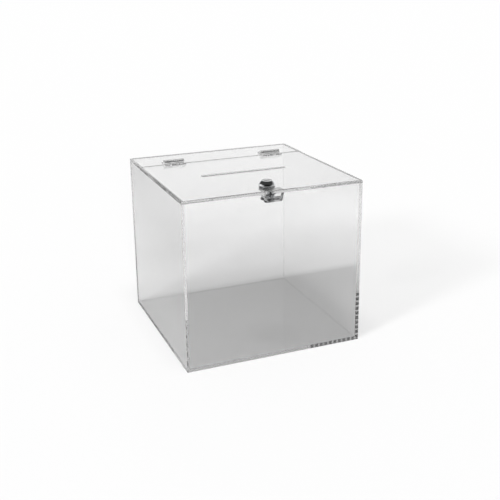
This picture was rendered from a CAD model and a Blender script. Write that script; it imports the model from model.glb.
"""Looks of the clear donation box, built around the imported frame. Metres, Z up."""

import math
from itertools import product

import bmesh
import bpy
from mathutils import Matrix, Vector


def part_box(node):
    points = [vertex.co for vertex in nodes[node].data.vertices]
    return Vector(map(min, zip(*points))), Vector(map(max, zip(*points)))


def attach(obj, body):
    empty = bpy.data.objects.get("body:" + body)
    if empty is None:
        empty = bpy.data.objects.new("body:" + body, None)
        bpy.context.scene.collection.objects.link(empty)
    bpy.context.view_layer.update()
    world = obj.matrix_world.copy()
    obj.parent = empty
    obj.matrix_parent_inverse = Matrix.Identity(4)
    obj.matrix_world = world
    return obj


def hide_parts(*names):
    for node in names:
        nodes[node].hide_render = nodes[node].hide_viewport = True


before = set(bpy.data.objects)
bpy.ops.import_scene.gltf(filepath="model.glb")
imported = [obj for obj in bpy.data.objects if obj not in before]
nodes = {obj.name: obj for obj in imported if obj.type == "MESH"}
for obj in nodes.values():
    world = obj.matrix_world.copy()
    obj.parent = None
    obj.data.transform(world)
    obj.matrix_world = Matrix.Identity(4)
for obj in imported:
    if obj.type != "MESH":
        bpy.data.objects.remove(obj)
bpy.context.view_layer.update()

MM = 0.001
X, Y, Z = 0, 1, 2
LOW, HIGH = 0, 1
# Points closer than this are one point
SAME = 1e-6
# The film of air between the lid, the block, the hinges or the lock and the sheets they touch
REST_GAP = 0.05 * MM

# ---- Rendering ----
CLEAR_BOUNCES = 96
DIFFUSE_BOUNCES = 4


def set_up_render():
    """Light is followed far enough through the many faces of the sheets."""
    scene = bpy.context.scene
    scene.view_settings.view_transform = "Standard"
    scene.cycles.max_bounces = CLEAR_BOUNCES
    scene.cycles.transmission_bounces = CLEAR_BOUNCES
    scene.cycles.glossy_bounces = CLEAR_BOUNCES
    scene.cycles.diffuse_bounces = DIFFUSE_BOUNCES
    scene.cycles.transparent_max_bounces = CLEAR_BOUNCES


# ---- Camera ----
CAMERA_PLACE = Vector((-0.4006, -1.0284, 0.5028))
CAMERA_AZIMUTH = math.radians(21.994)
CAMERA_DIP = math.radians(17.513)
CAMERA_ROLL = math.radians(0.658)
CAMERA_SENSOR = 36
CAMERA_LENS = 58.5
CAMERA_SHIFT_Y = -0.06
CAMERA_NEAREST = 0.01
CAMERA_FARTHEST = 100


def add_camera():
    """The photograph's viewing angle."""
    ahead = Vector((
        math.sin(CAMERA_AZIMUTH) * math.cos(CAMERA_DIP),
        math.cos(CAMERA_AZIMUTH) * math.cos(CAMERA_DIP),
        -math.sin(CAMERA_DIP),
    ))
    right = ahead.cross(Vector((0, 0, 1))).normalized()
    up = right.cross(ahead)
    turned_right = math.cos(CAMERA_ROLL) * right - math.sin(CAMERA_ROLL) * up
    turned_up = math.sin(CAMERA_ROLL) * right + math.cos(CAMERA_ROLL) * up
    data = bpy.data.cameras.new("camera")
    data.sensor_width = CAMERA_SENSOR
    data.lens = CAMERA_LENS
    data.shift_y = CAMERA_SHIFT_Y
    data.clip_start = CAMERA_NEAREST
    data.clip_end = CAMERA_FARTHEST
    cam = bpy.data.objects.new("camera", data)
    turn = Matrix((turned_right, turned_up, -ahead)).transposed()
    cam.matrix_world = Matrix.Translation(CAMERA_PLACE) @ turn.to_4x4()
    bpy.context.scene.collection.objects.link(cam)
    bpy.context.scene.camera = cam


# ---- Shader tools ----
WHITE = (1, 1, 1, 1)


def new_material(name):
    """A new material with its node tree and its shader."""
    material = bpy.data.materials.new(name)
    material.use_nodes = True
    tree = material.node_tree
    shader = tree.nodes["Principled BSDF"]
    return material, tree, shader


def feed(tree, socket, value):
    """Gives a socket a number, or links it to another socket."""
    if isinstance(value, (int, float)):
        socket.default_value = value
    else:
        tree.links.new(value, socket)


def math_node(tree, operation, first, second, clamp=False):
    """The result of arithmetic on two numbers."""
    node = tree.nodes.new("ShaderNodeMath")
    node.operation = operation
    node.use_clamp = clamp
    feed(tree, node.inputs[0], first)
    feed(tree, node.inputs[1], second)
    return node.outputs[0]


def measure(tree, operation, place, other=None):
    """A number worked out from a place, such as its length or its distance to another."""
    node = tree.nodes.new("ShaderNodeVectorMath")
    node.operation = operation
    tree.links.new(place, node.inputs[0])
    if other is not None:
        node.inputs[1].default_value = other
    return node.outputs["Value"]


def grey(tree, value):
    """A colour with the same value in all three channels."""
    colour = tree.nodes.new("ShaderNodeCombineColor")
    for socket in colour.inputs[:3]:
        tree.links.new(value, socket)
    return colour.outputs[0]


def pick(tree, choice, off, on):
    """The value off where choice is zero and on where it is one."""
    mix = tree.nodes.new("ShaderNodeMix")
    tree.links.new(choice, mix.inputs["Factor"])
    feed(tree, mix.inputs["A"], off)
    feed(tree, mix.inputs["B"], on)
    return mix.outputs["Result"]


def map_range(tree, value, start, full, first, last, curve):
    """From first to last as the value goes from start to full."""
    node = tree.nodes.new("ShaderNodeMapRange")
    node.interpolation_type = curve
    node.inputs["From Min"].default_value = start
    node.inputs["From Max"].default_value = full
    node.inputs["To Min"].default_value = first
    node.inputs["To Max"].default_value = last
    tree.links.new(value, node.inputs["Value"])
    return node.outputs[0]


def ramp(tree, value, start, full, first, last):
    """A soft change from first to last as the value goes from start to full."""
    return map_range(tree, value, start, full, first, last, "SMOOTHSTEP")


def mix_shaders(tree, choice, off, on):
    """The shader off where choice is zero and on where it is one."""
    mix = tree.nodes.new("ShaderNodeMixShader")
    for socket, value in zip(mix.inputs, (choice, off.outputs[0], on.outputs[0])):
        tree.links.new(value, socket)
    return mix.outputs[0]


def ray_is(tree, *kinds):
    """One for rays of any of these kinds."""
    path = tree.nodes.new("ShaderNodeLightPath")
    found = path.outputs[kinds[0]]
    for kind in kinds[1:]:
        found = math_node(tree, "MAXIMUM", found, path.outputs[kind])
    return found


def seen_ray(tree):
    """One for the rays that show the background."""
    return ray_is(tree, "Is Camera Ray", "Is Glossy Ray", "Is Transmission Ray")


def once_mirrored(tree):
    """One for rays that a surface has mirrored."""
    path = tree.nodes.new("ShaderNodeLightPath")
    return math_node(tree, "GREATER_THAN", path.outputs["Glossy Depth"], 0.5)


# ---- Stage ----
# The level of the floor and the backdrop where nothing shades them
FLOOR_WHITE = 0.995
FLOOR_ALBEDO = 0.60
FLOOR_SIZE = 60
# The floor lies this far below the box
FLOOR_DROP = 0.0003
# The even fill from all round
AMBIENT = 0.15
# Each lamp: its place, its radius, and the light that it lays on a level surface below the box
LAMPS = {
    "low": ((-0.67, -2.50, 0.85), 0.20, 0.12),
    "side": ((-1.15, -0.65, 0.95), 0.14, 0.46),
    "top": ((-0.12, -0.30, 1.70), 0.20, 0.40),
}
# The one lamp that shows in metal and in the faces of the sheets. None shows through them
SEEN_LAMP = "side"

# Heights in the sky are the sine of the angle above the horizon.
# All is white wall below the first, and ceiling above the second
WALL_TOP = 0.16
CEILING_START = 0.37
# The ceiling is dark on the left and grey from a little right of the middle
CEILING = 0.05
CEILING_RIGHT = 0.40
RIGHT_START = 0.0
RIGHT_FULL = 0.15
# Overhead it is dark everywhere
OVERHEAD_START = 0.46
OVERHEAD_FULL = 0.62
# Far round to the left, a white screen stands higher than the wall
SCREEN_START = 0.55
SCREEN_FULL = 0.70
SCREEN_EXTRA = 0.30

# The level direction from the box towards the camera
FRONT = Vector((-math.sin(CAMERA_AZIMUTH), -math.cos(CAMERA_AZIMUTH), 0))
# The studio is dark behind the camera. On the floor it starts and is full this many metres
# to the front, and in the sky at these cosines of the angle to the front
DARK = 0.06
DARK_START = 0.42
DARK_FULL = 0.62
DARK_SKY_START = 0.3
DARK_SKY_FULL = 0.8
# The floor is darker to the left of the box too
LEFT_START = 0.15
LEFT_FULL = 0.30
LEFT_LEVEL = 0.5

# The share of its glow that the floor has in glass and metal is small near the box,
NEAR_GLOW = 0.1
# grows to the full glow between these distances behind it,
NEAR_BEHIND = 0.12
FAR_BEHIND = 0.66
# rises to at least this much across the line of the back wall,
BACK_GLOW = 0.5
BACK_START = 0.125
BACK_FULL = 0.155
# and is full far out on every side
OPEN_START = 0.5
OPEN_FULL = 1.2
# A ray that a surface has mirrored sees this share of it, less on the dark sides, and has no
# rise far out
MIRRORED_GLOW = 0.6


def along_front(tree, place, start, full, first, last):
    """A soft change from first to last between start and full along FRONT."""
    return ramp(tree, measure(tree, "DOT_PRODUCT", place, FRONT), start, full, first, last)


def lamp_constant(place, level):
    """What makes level = constant x height / distance cubed under the box."""
    return level * Vector(place).length ** 3 / place[Z]


def floor_light(tree, place):
    """The light that the lamps and the fill lay on the floor at a place."""
    light = AMBIENT
    for lamp_place, _, level in LAMPS.values():
        distance = measure(tree, "DISTANCE", place, lamp_place)
        cubed = math_node(tree, "POWER", distance, 3.0)
        here = math_node(tree, "DIVIDE", lamp_constant(lamp_place, level) * lamp_place[Z], cubed)
        light = math_node(tree, "ADD", here, light)
    return light


def glow_share(tree, place, back, side):
    """The share of its glow that the floor has for each kind of ray."""
    not_behind = along_front(tree, place, -FAR_BEHIND, -NEAR_BEHIND, 0.0, 1.0 - NEAR_GLOW)
    before_back = ramp(tree, back, BACK_START, BACK_FULL, 1.0, 1.0 - BACK_GLOW)
    missing = math_node(tree, "MULTIPLY", not_behind, before_back)
    behind = math_node(tree, "SUBTRACT", 1.0, missing)
    reach = measure(tree, "LENGTH", place)
    far_out = ramp(tree, reach, OPEN_START, OPEN_FULL, 0.0, 1.0)
    straight = math_node(tree, "MAXIMUM", behind, far_out)
    dimmed = math_node(tree, "MULTIPLY", behind, side)
    mirrored = math_node(tree, "MULTIPLY", dimmed, MIRRORED_GLOW)
    level = pick(tree, once_mirrored(tree), straight, mirrored)
    return pick(tree, ray_is(tree, "Is Camera Ray"), level, 1.0)


def pale_floor():
    """A matt floor that glows by what its own light lacks to be white."""
    material, tree, shader = new_material("pale_floor")
    place = tree.nodes.new("ShaderNodeTexCoord").outputs["Object"]
    parts = tree.nodes.new("ShaderNodeSeparateXYZ")
    tree.links.new(place, parts.inputs[0])
    front = along_front(tree, place, DARK_START, DARK_FULL, 1.0, DARK)
    left = ramp(tree, parts.outputs["X"], -LEFT_FULL, -LEFT_START, LEFT_LEVEL, 1.0)
    side = math_node(tree, "MULTIPLY", front, left)
    light = floor_light(tree, place)
    most = math_node(tree, "DIVIDE", FLOOR_WHITE, light)
    matt = math_node(tree, "MINIMUM", most, FLOOR_ALBEDO)
    albedo = math_node(tree, "MULTIPLY", matt, side)
    tree.links.new(grey(tree, albedo), shader.inputs["Base Color"])
    shader.inputs["Roughness"].default_value = 1.0
    shader.inputs["Specular IOR Level"].default_value = 0.0
    lit = math_node(tree, "MULTIPLY", albedo, light)
    short = math_node(tree, "SUBTRACT", FLOOR_WHITE, lit, clamp=True)
    seen = math_node(tree, "MULTIPLY", short, seen_ray(tree))
    share = glow_share(tree, place, parts.outputs["Y"], side)
    glow = math_node(tree, "MULTIPLY", seen, share)
    shader.inputs["Emission Color"].default_value = WHITE
    tree.links.new(glow, shader.inputs["Emission Strength"])
    return material


def add_floor():
    """A wide floor that is white where nothing shades it, and keeps the object's shadow."""
    mesh = bpy.data.meshes.new("floor")
    half = FLOOR_SIZE / 2
    corners = ((-half, -half), (half, -half), (half, half), (-half, half))
    mesh.from_pydata([(x, y, -FLOOR_DROP) for x, y in corners], [], [(0, 1, 2, 3)])
    mesh.materials.append(pale_floor())
    floor = bpy.data.objects.new("floor", mesh)
    bpy.context.scene.collection.objects.link(floor)


def add_lamps():
    """A lamp of W watts lays W / (2 pi)^2 x height / distance cubed on the floor."""
    for name, (place, radius, level) in LAMPS.items():
        data = bpy.data.lights.new(name, "POINT")
        data.shadow_soft_size = radius
        data.energy = lamp_constant(place, level) * (2 * math.pi) ** 2
        lamp = bpy.data.objects.new(name, data)
        lamp.location = place
        lamp.visible_glossy = name == SEEN_LAMP
        lamp.visible_transmission = False
        bpy.context.scene.collection.objects.link(lamp)


def sky_level(tree, way):
    """How bright the studio is in each direction."""
    parts = tree.nodes.new("ShaderNodeSeparateXYZ")
    tree.links.new(way, parts.inputs[0])
    sideways, upward = parts.outputs["X"], parts.outputs["Z"]
    ceiling = ramp(tree, sideways, RIGHT_START, RIGHT_FULL, CEILING, CEILING_RIGHT)
    overhead = ramp(tree, upward, OVERHEAD_START, OVERHEAD_FULL, 0.0, 1.0)
    ceiling = pick(tree, overhead, ceiling, CEILING)
    screen = ramp(tree, sideways, -SCREEN_FULL, -SCREEN_START, SCREEN_EXTRA, 0.0)
    rise = math_node(tree, "SUBTRACT", upward, screen)
    height = ramp(tree, rise, WALL_TOP, CEILING_START, 0.0, 1.0)
    level = pick(tree, height, FLOOR_WHITE, ceiling)
    dark = along_front(tree, way, DARK_SKY_START, DARK_SKY_FULL, 1.0, DARK)
    side = pick(tree, once_mirrored(tree), 1.0, dark)
    return math_node(tree, "MULTIPLY", level, side)


def add_world():
    """A studio that is seen, and an even fill that lights the object."""
    world = bpy.data.worlds.new("studio")
    bpy.context.scene.world = world
    world.use_nodes = True
    tree = world.node_tree
    tree.nodes.clear()
    end = tree.nodes.new("ShaderNodeOutputWorld")
    fill = tree.nodes.new("ShaderNodeBackground")
    fill.inputs["Color"].default_value = WHITE
    fill.inputs["Strength"].default_value = AMBIENT
    room = tree.nodes.new("ShaderNodeBackground")
    room.inputs["Color"].default_value = WHITE
    way = tree.nodes.new("ShaderNodeTexCoord").outputs["Generated"]
    tree.links.new(sky_level(tree, way), room.inputs["Strength"])
    tree.links.new(mix_shaders(tree, seen_ray(tree), fill, room), end.inputs["Surface"])


# ---- Materials ----
ACRYLIC_IOR = 1.49
# The light that each face of a sheet lets through to what it shades
GLASS_SHARE = 0.87
# Features per metre of the faint tint in clear plastic
TINT_SCALE = 60
# Bubbles per metre in a glued joint, their tone, and how much they hide of what lies behind
JOINT_BUBBLES = 900
JOINT_TONE = (0.8, 0.95)
JOINT_HAZE = 0.04
# The part of the noise's range that is used
NOISE_LOW = 0.3
NOISE_HIGH = 0.7
FINE_DETAIL = 4.0
PLAIN_DETAIL = 1.0
# The darkest tone in metal, and the scale of its patches as a share of the grain's
METAL_DARKEST = 0.88
METAL_PATCH = 0.3


def noise_value(tree, scale, low, high, detail=FINE_DETAIL, stretch=(1, 1, 1)):
    """Noise in object space, from low to high. Scale is in features per metre."""
    place = tree.nodes.new("ShaderNodeTexCoord").outputs["Object"]
    turn = tree.nodes.new("ShaderNodeMapping")
    turn.inputs["Scale"].default_value = stretch
    tree.links.new(place, turn.inputs["Vector"])
    noise = tree.nodes.new("ShaderNodeTexNoise")
    noise.inputs["Scale"].default_value = scale
    noise.inputs["Detail"].default_value = detail
    tree.links.new(turn.outputs[0], noise.inputs["Vector"])
    return map_range(tree, noise.outputs[0], NOISE_LOW, NOISE_HIGH, low, high, "LINEAR")


def add_bump(tree, shader, height, depth):
    """Unevenness of the surface, this deep."""
    bump = tree.nodes.new("ShaderNodeBump")
    bump.inputs["Strength"].default_value = 1.0
    bump.inputs["Distance"].default_value = depth
    tree.links.new(height, bump.inputs["Height"])
    tree.links.new(bump.outputs[0], shader.inputs["Normal"])


def let_lamps_through(tree, shader):
    """Lamps reach what is behind the plastic: shadow and diffuse rays pass straight through."""
    end = next(node for node in tree.nodes if node.type == "OUTPUT_MATERIAL")
    either = ray_is(tree, "Is Shadow Ray", "Is Diffuse Ray")
    clear = tree.nodes.new("ShaderNodeBsdfTransparent")
    clear.inputs["Color"].default_value = (GLASS_SHARE, GLASS_SHARE, GLASS_SHARE, 1)
    tree.links.new(mix_shaders(tree, either, shader, clear), end.inputs["Surface"])


def clear_plastic(name, tint, waves, depth, rough, milk):
    """Clear plastic with a faint unevenness in its surface and its colour."""
    material, tree, shader = new_material(name)
    colour = grey(tree, noise_value(tree, TINT_SCALE, *tint))
    tree.links.new(colour, shader.inputs["Base Color"])
    shader.inputs["Roughness"].default_value = rough
    shader.inputs["IOR"].default_value = ACRYLIC_IOR
    shader.inputs["Transmission Weight"].default_value = 1.0 - milk
    add_bump(tree, shader, noise_value(tree, waves, 0, 1, detail=PLAIN_DETAIL), depth)
    let_lamps_through(tree, shader)
    return material


def clear_acrylic():
    """Cast acrylic sheet with polished faces."""
    return clear_plastic(
        "clear_acrylic", tint=(0.985, 0.995), waves=25, depth=0.0004 * MM, rough=0.0, milk=0.0
    )


def moulded_hinge():
    """Moulded plastic, a little wavier and milkier than the sheet."""
    return clear_plastic(
        "moulded_hinge", tint=(0.92, 0.98), waves=300, depth=0.01 * MM, rough=0.03, milk=0.05
    )


def cement_joint():
    """Where two sheets are glued only a faint haze of fine bubbles is left to see."""
    material, tree, shader = new_material("cement_joint")
    colour = grey(tree, noise_value(tree, JOINT_BUBBLES, *JOINT_TONE))
    tree.links.new(colour, shader.inputs["Base Color"])
    shader.inputs["Roughness"].default_value = 0.6
    shader.inputs["IOR"].default_value = 1.0
    shader.inputs["Specular IOR Level"].default_value = 0.0
    shader.inputs["Alpha"].default_value = JOINT_HAZE
    return material


def metal(name, colour, rough, grain, depth, stretch=(1, 1, 1)):
    """Metal with a grain in its gloss, its tone and its surface."""
    material, tree, shader = new_material(name)
    tone = noise_value(tree, grain * METAL_PATCH, METAL_DARKEST, 1.0)
    toned = tree.nodes.new("ShaderNodeVectorMath")
    toned.operation = "SCALE"
    toned.inputs[0].default_value = colour
    tree.links.new(tone, toned.inputs["Scale"])
    tree.links.new(toned.outputs[0], shader.inputs["Base Color"])
    shader.inputs["Metallic"].default_value = 1.0
    gloss = noise_value(tree, grain, *rough, stretch=stretch)
    tree.links.new(gloss, shader.inputs["Roughness"])
    add_bump(tree, shader, noise_value(tree, grain, 0, 1, stretch=stretch), depth)
    return material


def bright_chrome():
    """The plated head and plug of the lock."""
    return metal(
        "bright_chrome", (0.86, 0.87, 0.88), rough=(0.03, 0.08), grain=900, depth=0.002 * MM
    )


def dull_nickel():
    """The nut under the lid."""
    return metal(
        "dull_nickel", (0.30, 0.30, 0.31), rough=(0.12, 0.2), grain=1500, depth=0.01 * MM
    )


def plated_steel():
    """Rolled and plated steel, with its grain along X."""
    return metal(
        "plated_steel", (0.38, 0.38, 0.39), rough=(0.10, 0.2), grain=1400, depth=0.008 * MM,
        stretch=(0.08, 1, 1),
    )


def drawn_wire():
    """Bright drawn wire, with its grain along X."""
    return metal(
        "drawn_wire", (0.7, 0.7, 0.7), rough=(0.15, 0.3), grain=1500, depth=0.004 * MM,
        stretch=(0.1, 1, 1),
    )


def stamped_brass():
    """The wafers in the plug."""
    return metal(
        "stamped_brass", (0.8, 0.62, 0.3), rough=(0.2, 0.35), grain=1200, depth=0.01 * MM
    )


# ---- Mesh tools ----
# Faces that meet at less than this are shaded as one curve
SMOOTH_ANGLE = math.radians(28)
# Faces that bend at less than this are shaded flat
BEND_ANGLE = math.radians(1.5)
# Faces that bend at less than this are joined to one
LEVEL_ANGLE = math.radians(1)
# The least cosine between the normals of two faces that lie in one plane
ONE_PLANE = 0.99999


def finish_piece(name, mesh, body, replaced, materials):
    """Puts a mesh in the scene as the looks of a CAD node."""
    for material in materials:
        mesh.materials.append(material)
    piece = bpy.data.objects.new(name, mesh)
    bpy.context.scene.collection.objects.link(piece)
    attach(piece, body)
    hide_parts(replaced)


def dress(node, material):
    """A CAD node whose shape stays gets its own material."""
    mesh = nodes[node].data
    mesh.materials.clear()
    mesh.materials.append(material)


def split_mesh(bm, name):
    """The mesh with its sharp edges marked, and each face as smooth or flat as it was."""
    mesh = bpy.data.meshes.new(name)
    gentle = [face.smooth for face in bm.faces]
    bm.to_mesh(mesh)
    bm.free()
    old = mesh.attributes.get("custom_normal")
    if old:
        mesh.attributes.remove(old)
    mesh.set_sharp_from_angle(angle=SMOOTH_ANGLE)
    mesh.polygons.foreach_set("use_smooth", gentle)
    return mesh


def smooth(bm, name):
    """A mesh that is smooth over its curves and sharp at its edges."""
    bmesh.ops.recalc_face_normals(bm, faces=bm.faces)
    for face in bm.faces:
        face.smooth = True
    return split_mesh(bm, name)


def is_curved(face):
    """True for a face that runs on into its neighbour in a gentle bend."""
    bends = [edge.calc_face_angle(0) for edge in face.edges if edge.is_manifold]
    return any(BEND_ANGLE < bend < SMOOTH_ANGLE for bend in bends)


def sharp_edges(bm):
    """The edges between faces that are not one curve."""
    return [e for e in bm.edges if e.is_manifold and e.calc_face_angle(0) > SMOOTH_ANGLE]


def ease(bm, edges, width, segments):
    """Rounds the edges. The flat faces beside them stay flat in the shading."""
    flat = [(f.normal.copy(), f.normal.dot(f.verts[0].co)) for f in bm.faces if not f.smooth]
    made = bmesh.ops.bevel(
        bm, geom=edges, offset=width, offset_type="OFFSET", segments=segments, profile=0.5,
        affect="EDGES", clamp_overlap=True,
    )
    for face in made["faces"]:
        face.normal_update()
        level = face.normal.dot(face.verts[0].co)
        face.smooth = not any(
            face.normal.dot(normal) > ONE_PLANE and abs(level - place) < SAME
            for normal, place in flat
        )


def stand_clear(bm, box, gap):
    """Moves sides of the node's box. Each row of gap is an axis, a side and a move."""
    for axis, side, move in gap:
        level = box[side][axis]
        for vert in bm.verts:
            if abs(vert.co[axis] - level) < SAME:
                vert.co[axis] = level + move


def eased(node, body, material, width, segments=1, gap=(), first=None):
    """The node's own shape with its edges eased.

    It stands clear of what it touches by gap. First eases some of the edges in another way: it
    holds a test for those edges, their width and their segments.
    """
    bm = bmesh.new()
    bm.from_mesh(nodes[node].data)
    bmesh.ops.remove_doubles(bm, verts=bm.verts, dist=SAME)
    bmesh.ops.dissolve_limit(bm, angle_limit=LEVEL_ANGLE, verts=bm.verts, edges=bm.edges)
    stand_clear(bm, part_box(node), gap)
    for face in bm.faces:
        face.smooth = is_curved(face)
    if first:
        is_chosen, first_width, first_segments = first
        chosen = [edge for edge in sharp_edges(bm) if is_chosen(edge)]
        ease(bm, chosen, first_width, first_segments)
    ease(bm, sharp_edges(bm), width, segments)
    bmesh.ops.recalc_face_normals(bm, faces=bm.faces)
    finish_piece(node + "_piece", split_mesh(bm, node), body, node, (material,))


def centre_of(low, high):
    """The middle of a box, seen from above."""
    return ((low.x + high.x) / 2, (low.y + high.y) / 2)


def on_circle(centre, radius, angle, z):
    """A point on a level circle."""
    x = centre[X] + radius * math.cos(angle)
    y = centre[Y] + radius * math.sin(angle)
    return Vector((x, y, z))


def circle_row(centre, radius, z):
    """A level circle, as a function of the angle."""
    return lambda angle: on_circle(centre, radius, angle, z)


def turned(rows, count):
    """A closed skin over rows of points round an axis. Each row is a function of the angle."""
    bm = bmesh.new()
    skin = []
    for row in rows:
        skin.append([bm.verts.new(row(2 * math.pi * i / count)) for i in range(count)])
    for low, high in zip(skin, skin[1:] + skin[:1]):
        for i in range(count):
            j = (i + 1) % count
            bm.faces.new((low[i], low[j], high[j], high[i]))
    return bm


# ---- The glued box ----
WALLS = ("front_panel", "back_panel", "left_panel", "right_panel")
CEMENTED = WALLS + ("bottom_panel", "rear_strip")
# Sheets closer than this touch
TOUCHING = 1e-5
# Corners are rounded to this many digits to find those that faces share
CORNER_DIGITS = 7


def cut_lines(low, high, boxes, axis):
    """Where the other sheets start and end along one axis, within this sheet."""
    lines = {low[axis], high[axis]}
    for other_low, other_high in boxes:
        for value in (other_low[axis], other_high[axis]):
            if low[axis] + TOUCHING < value < high[axis] - TOUCHING:
                lines.add(value)
    lines = sorted(lines)
    return [v for i, v in enumerate(lines) if i == 0 or v - lines[i - 1] > TOUCHING]


def inside_any(point, boxes):
    """True for a point inside one of the boxes."""
    return any(
        all(low[i] < point[i] < high[i] for i in (X, Y, Z)) for low, high in boxes
    )


def placed(axis, level, first, second):
    """A point from its place along an axis and along the two axes that follow it."""
    point = [0.0, 0.0, 0.0]
    point[axis] = level
    point[(axis + 1) % 3] = first
    point[(axis + 2) % 3] = second
    return point


def sheet_faces(low, high, boxes):
    """Each face as its corners in order, and a point just outside its middle."""
    for axis in (X, Y, Z):
        us = cut_lines(low, high, boxes, (axis + 1) % 3)
        vs = cut_lines(low, high, boxes, (axis + 2) % 3)
        for side, level in ((-1, low[axis]), (1, high[axis])):
            outside = level + side * 2 * TOUCHING
            for (u0, u1), (v0, v1) in product(zip(us, us[1:]), zip(vs, vs[1:])):
                ring = [(u0, v0), (u1, v0), (u1, v1), (u0, v1)][::side]
                corners = [placed(axis, level, u, v) for u, v in ring]
                yield corners, placed(axis, outside, (u0 + u1) / 2, (v0 + v1) / 2)


def sheet_mesh(name, low, high, boxes):
    """A closed sheet whose faces are split where other sheets are cemented to it."""
    places = {}
    faces = []
    joined = []
    for corners, outside in sheet_faces(low, high, boxes):
        keys = [tuple(round(value, CORNER_DIGITS) for value in corner) for corner in corners]
        faces.append([places.setdefault(key, len(places)) for key in keys])
        joined.append(inside_any(outside, boxes))
    mesh = bpy.data.meshes.new(name)
    mesh.from_pydata(list(places), [], faces)
    for face, is_joined in zip(mesh.polygons, joined):
        face.material_index = int(is_joined)
    return mesh


def add_sheets(sheet, glue):
    """The cemented sheets, one piece for each node."""
    boxes = {}
    for name in CEMENTED:
        low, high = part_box(name)
        boxes[name] = [Vector(low), Vector(high)]
    for name in WALLS:
        boxes[name][HIGH].z -= REST_GAP
    boxes["rear_strip"][LOW].z -= REST_GAP
    for name, (low, high) in boxes.items():
        others = [box for other, box in boxes.items() if other != name]
        mesh = sheet_mesh(name, low, high, others)
        finish_piece(name + "_piece", mesh, "box", name, (sheet, glue))


# ---- Lid, catch block and hinges ----
LID_EDGE = 0.12 * MM
LID_RIM_EDGE = 0.9 * MM
LID_RIM_STEPS = 1
BLOCK_EDGE = 0.2 * MM
HINGE_EDGE = 0.45 * MM
PIN_EDGE = 0.25 * MM


def add_lid(sheet):
    """The lid is eased more along the outer edges of its top."""
    low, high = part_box("lid")
    sides = ((X, low.x), (X, high.x), (Y, low.y), (Y, high.y))

    def is_outer_rim(edge):
        ends = [vert.co for vert in edge.verts]
        on_top = all(abs(end.z - high.z) < SAME for end in ends)
        return on_top and any(
            all(abs(end[axis] - level) < SAME for end in ends) for axis, level in sides
        )

    rim = (is_outer_rim, LID_RIM_EDGE, LID_RIM_STEPS)
    eased("lid", "lid", sheet, LID_EDGE, first=rim)


def add_catch_block(sheet):
    """The block stands clear of the front wall and the lid."""
    gap = ((Y, LOW, REST_GAP), (Z, HIGH, -REST_GAP))
    eased("catch_block", "box", sheet, BLOCK_EDGE, gap=gap)


def add_hinges(hinge, wire):
    """Two leaves and a pin on each side. The leaves stand clear of the sheets below."""
    gap = ((Z, LOW, REST_GAP),)
    for side in ("left", "right"):
        for leaf, body in (("strip", "box"), ("lid", "lid")):
            node = f"{side}_hinge_{leaf}_leaf"
            eased(node, body, hinge, HINGE_EDGE, segments=2, gap=gap)
        eased(f"{side}_hinge_pin", "box", wire, PIN_EDGE, segments=3)


# ---- Lock housing ----
# Points round the housing and the nut
ROUND = 72
BODY_R = 8 * MM
# The body's two flats are this far from its axis
BODY_FLAT = 7 * MM
BODY_CHAMFER = 0.3 * MM
THREAD_PITCH = 1.0 * MM
THREAD_DEPTH = 0.5 * MM
THREAD_STEPS = 6
# The thread ends this far below the head
THREAD_STOP = 0.6 * MM
PLUG_BORE_R = 5.55 * MM
BORE_CHAMFER = 0.2 * MM
# The recess round the plug's head, and the height of its floor above the head's seat
RECESS_R = 6.55 * MM
RECESS_CHAMFER = 0.25 * MM
RECESS_FLOOR = 3.8 * MM
LIP_R = 0.45 * MM
LIP_STEPS = 6
# The dome is part of a ball whose middle is this far below the head's seat
DOME_R = 12.5 * MM
DOME_DEPTH = 4.45 * MM
DOME_STEPS = 12
# It ends this far below the top of the head
DOME_STOP = 0.2 * MM


def thread_row(centre, crest, z):
    """A row of a thread that is cut off at the body's flats."""
    def point(a):
        turn = (z / THREAD_PITCH - a / (2 * math.pi)) % 1
        radius = crest - THREAD_DEPTH * (1 - abs(2 * turn - 1))
        x, y = radius * math.cos(a), radius * math.sin(a)
        return Vector((centre[X] + max(-BODY_FLAT, min(BODY_FLAT, x)), centre[Y] + y, z))
    return point


def body_rows(centre, bottom, seat):
    """The threaded body, from its bottom to the head's seat."""
    rows = [circle_row(centre, PLUG_BORE_R + BORE_CHAMFER, bottom)]
    rows.append(circle_row(centre, BODY_FLAT - BODY_CHAMFER, bottom))
    z = bottom + BODY_CHAMFER
    while z < seat - THREAD_STOP:
        rows.append(thread_row(centre, BODY_R, z))
        z += THREAD_PITCH / THREAD_STEPS
    rows.append(thread_row(centre, BODY_R - THREAD_DEPTH, seat - THREAD_STOP))
    rows.append(thread_row(centre, BODY_R - THREAD_DEPTH, seat))
    return rows


def lip_rows(centre, head_r, seat):
    """The rolled lip round the head."""
    rows = []
    for i in range(LIP_STEPS + 1):
        turn = math.pi * (i / LIP_STEPS - 0.5)
        radius = head_r - LIP_R * (1 - math.cos(turn))
        rows.append(circle_row(centre, radius, seat + LIP_R * (1 + math.sin(turn))))
    return rows


def dome_rows(centre, seat, top):
    """The dome of the head, from the lip to its end near the top."""
    ball_z = seat - DOME_DEPTH
    first = math.asin((seat + 2 * LIP_R - ball_z) / DOME_R)
    last = math.asin((top - DOME_STOP - ball_z) / DOME_R)
    rows = []
    for i in range(DOME_STEPS + 1):
        turn = first + (last - first) * i / DOME_STEPS
        z = ball_z + DOME_R * math.sin(turn)
        rows.append(circle_row(centre, DOME_R * math.cos(turn), z))
    return rows


def bore_rows(centre, bottom, seat, top):
    """The recess round the plug's head and the bore, from the top down."""
    floor = seat + RECESS_FLOOR
    return [
        circle_row(centre, RECESS_R + RECESS_CHAMFER, top),
        circle_row(centre, RECESS_R, top - RECESS_CHAMFER),
        circle_row(centre, RECESS_R, floor),
        circle_row(centre, PLUG_BORE_R, floor),
        circle_row(centre, PLUG_BORE_R, bottom + BORE_CHAMFER),
    ]


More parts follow.
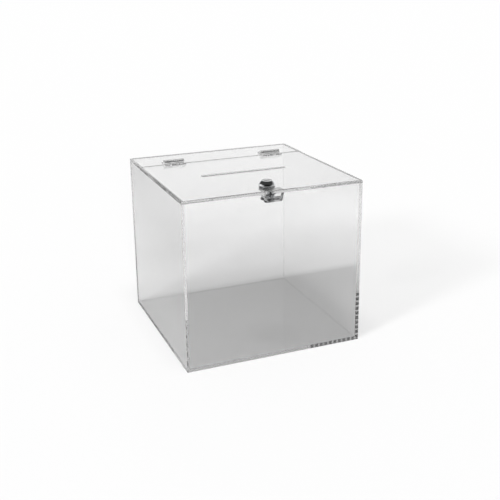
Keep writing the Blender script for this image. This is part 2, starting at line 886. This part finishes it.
def add_housing(chrome):
    """Chromed head with a rolled lip and a dome, over a threaded body with two flats."""
    low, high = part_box("lock_housing")
    centre = centre_of(low, high)
    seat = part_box("lid")[HIGH].z + REST_GAP
    rows = body_rows(centre, low.z, seat)
    rows += lip_rows(centre, (high.x - low.x) / 2, seat)
    rows += dome_rows(centre, seat, high.z)
    rows += bore_rows(centre, low.z, seat, high.z)
    mesh = smooth(turned(rows, ROUND), "lock_housing")
    finish_piece("lock_housing_piece", mesh, "lid", "lock_housing", (chrome,))


# ---- Nut and washers ----
# The hole in the nut and in the washer above it
BODY_HOLE_R = 8.1 * MM
NUT_CHAMFER = 0.5 * MM
NUT_CORNER_SLOPE = math.tan(math.radians(30))
# The nut's round faces are this much inside the flats of its hexagon
NUT_FACE_INSET = 0.25 * MM
WASHER_ROOT_R = 9.3 * MM
WASHER_HALF = 0.3 * MM
TEETH = 18
TOOTH_STEPS = 8
TOOTH_SHARE = 0.6
TOOTH_TWIST = 0.15 * MM
# Keeps a tooth's edges on their own steps when the angle is rounded
STEP_SLACK = 1e-6
SPRING_BORE_R = 2.6 * MM
SPRING_STEPS = 56
SPRING_SPLIT = math.radians(7)
# The wire's thickness as a share of the height it fills, and the lean of its ends in radians
SPRING_THICKNESS = 0.86
SPRING_LEAN = 0.09


def add_nut(zinc):
    """Hexagon nut with its corners turned off at both faces."""
    low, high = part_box("lock_nut")
    centre = centre_of(low, high)
    half_flat = (high.y - low.y) / 2
    face_r = half_flat - NUT_FACE_INSET

    def corner_row(z, side):
        def point(a):
            off = (a % (math.pi / 3)) - math.pi / 6
            radius = half_flat / math.cos(off)
            drop = NUT_CORNER_SLOPE * (radius - face_r)
            return on_circle(centre, radius, a, z - side * drop)
        return point

    rows = [
        circle_row(centre, BODY_HOLE_R + NUT_CHAMFER, low.z),
        circle_row(centre, face_r, low.z),
        corner_row(low.z, -1),
        corner_row(high.z, 1),
        circle_row(centre, face_r, high.z),
        circle_row(centre, BODY_HOLE_R + NUT_CHAMFER, high.z),
        circle_row(centre, BODY_HOLE_R, high.z - NUT_CHAMFER),
        circle_row(centre, BODY_HOLE_R, low.z + NUT_CHAMFER),
    ]
    mesh = smooth(turned(rows, ROUND), "lock_nut")
    finish_piece("lock_nut_piece", mesh, "lid", "lock_nut", (zinc,))


def add_washer(steel):
    """Toothed lock washer: each tooth is twisted a little."""
    low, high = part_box("lock_washer")
    centre = centre_of(low, high)
    tip_r = (high.x - low.x) / 2
    middle = (low.z + high.z) / 2 - REST_GAP

    def edge_row(side):
        def point(a):
            step = (a / (2 * math.pi) * TEETH) % 1 + STEP_SLACK
            z = middle + side * WASHER_HALF
            if step < TOOTH_SHARE:
                lean = TOOTH_TWIST * (2 * step / TOOTH_SHARE - 1)
                return on_circle(centre, tip_r, a, z + lean)
            return on_circle(centre, WASHER_ROOT_R, a, z)
        return point

    rows = [
        circle_row(centre, BODY_HOLE_R, middle - WASHER_HALF),
        edge_row(-1),
        edge_row(1),
        circle_row(centre, BODY_HOLE_R, middle + WASHER_HALF),
    ]
    mesh = smooth(turned(rows, TEETH * TOOTH_STEPS), "lock_washer")
    finish_piece("lock_washer_piece", mesh, "lid", "lock_washer", (steel,))


def spring_skin(centre, outer, bottom, height):
    """A split ring that climbs a little, from one cut end to the other."""
    thick = height * SPRING_THICKNESS
    section = ((SPRING_BORE_R, 0), (outer, 0), (outer, thick), (SPRING_BORE_R, thick))
    bm = bmesh.new()
    rings = []
    for i in range(SPRING_STEPS + 1):
        along = i / SPRING_STEPS
        angle = SPRING_SPLIT / 2 + (2 * math.pi - SPRING_SPLIT) * along
        z = bottom + (height - thick) * along
        ring = []
        for radius, up in section:
            lean = SPRING_LEAN * (up / thick - 0.5)
            ring.append(bm.verts.new(on_circle(centre, radius, angle + lean, z + up)))
        rings.append(ring)
    for a, b in zip(rings, rings[1:]):
        for i in range(len(section)):
            j = (i + 1) % len(section)
            bm.faces.new((a[i], a[j], b[j], b[i]))
    bm.faces.new(rings[0])
    bm.faces.new(rings[-1])
    return bm


def add_spring_washer(steel):
    """Split spring washer, pressed nearly flat by the screw."""
    node = "cam_spring_washer"
    low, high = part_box(node)
    bm = spring_skin(centre_of(low, high), (high.x - low.x) / 2, low.z, high.z - low.z)
    finish_piece(node + "_piece", smooth(bm, node), "lock_rotor", node, (steel,))


# ---- Plug, cam and screw ----
PLUG_EDGE = 0.12 * MM
CAM_EDGE = 0.35 * MM
SCREW_EDGE = 0.12 * MM
SCREW_CROWN = 1.3 * MM
SCREW_CROWN_STEPS = 5
# The screw's cross recess lies nearer its axis than this, and the rim of its head farther
SCREW_RIM_R = 4 * MM


def add_screw(steel):
    """The screw's head is crowned at the rim of its free face."""
    low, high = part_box("cam_screw")
    axis_y = centre_of(low, high)[Y]

    def is_rim(edge):
        return all(
            abs(v.co.z - low.z) < SAME and math.hypot(v.co.x, v.co.y - axis_y) > SCREW_RIM_R
            for v in edge.verts
        )

    crown = (is_rim, SCREW_CROWN, SCREW_CROWN_STEPS)
    eased("cam_screw", "lock_rotor", steel, SCREW_EDGE, segments=2, first=crown)


def main():
    """The camera and the studio, and then each piece with its material."""
    set_up_render()
    add_camera()
    add_floor()
    add_world()
    add_lamps()

    sheet = clear_acrylic()
    hinge = moulded_hinge()
    glue = cement_joint()
    chrome = bright_chrome()
    zinc = dull_nickel()
    steel = plated_steel()
    wire = drawn_wire()
    brass = stamped_brass()

    add_sheets(sheet, glue)
    add_lid(sheet)
    add_catch_block(sheet)
    add_hinges(hinge, wire)
    add_housing(chrome)
    add_nut(zinc)
    add_washer(steel)
    add_spring_washer(steel)
    eased("lock_plug", "lock_rotor", chrome, PLUG_EDGE, segments=2)
    eased("lock_cam", "lock_rotor", steel, CAM_EDGE, segments=3)
    add_screw(steel)
    dress("lock_wafers", brass)
    dress("lock_wafer_springs", wire)


main()
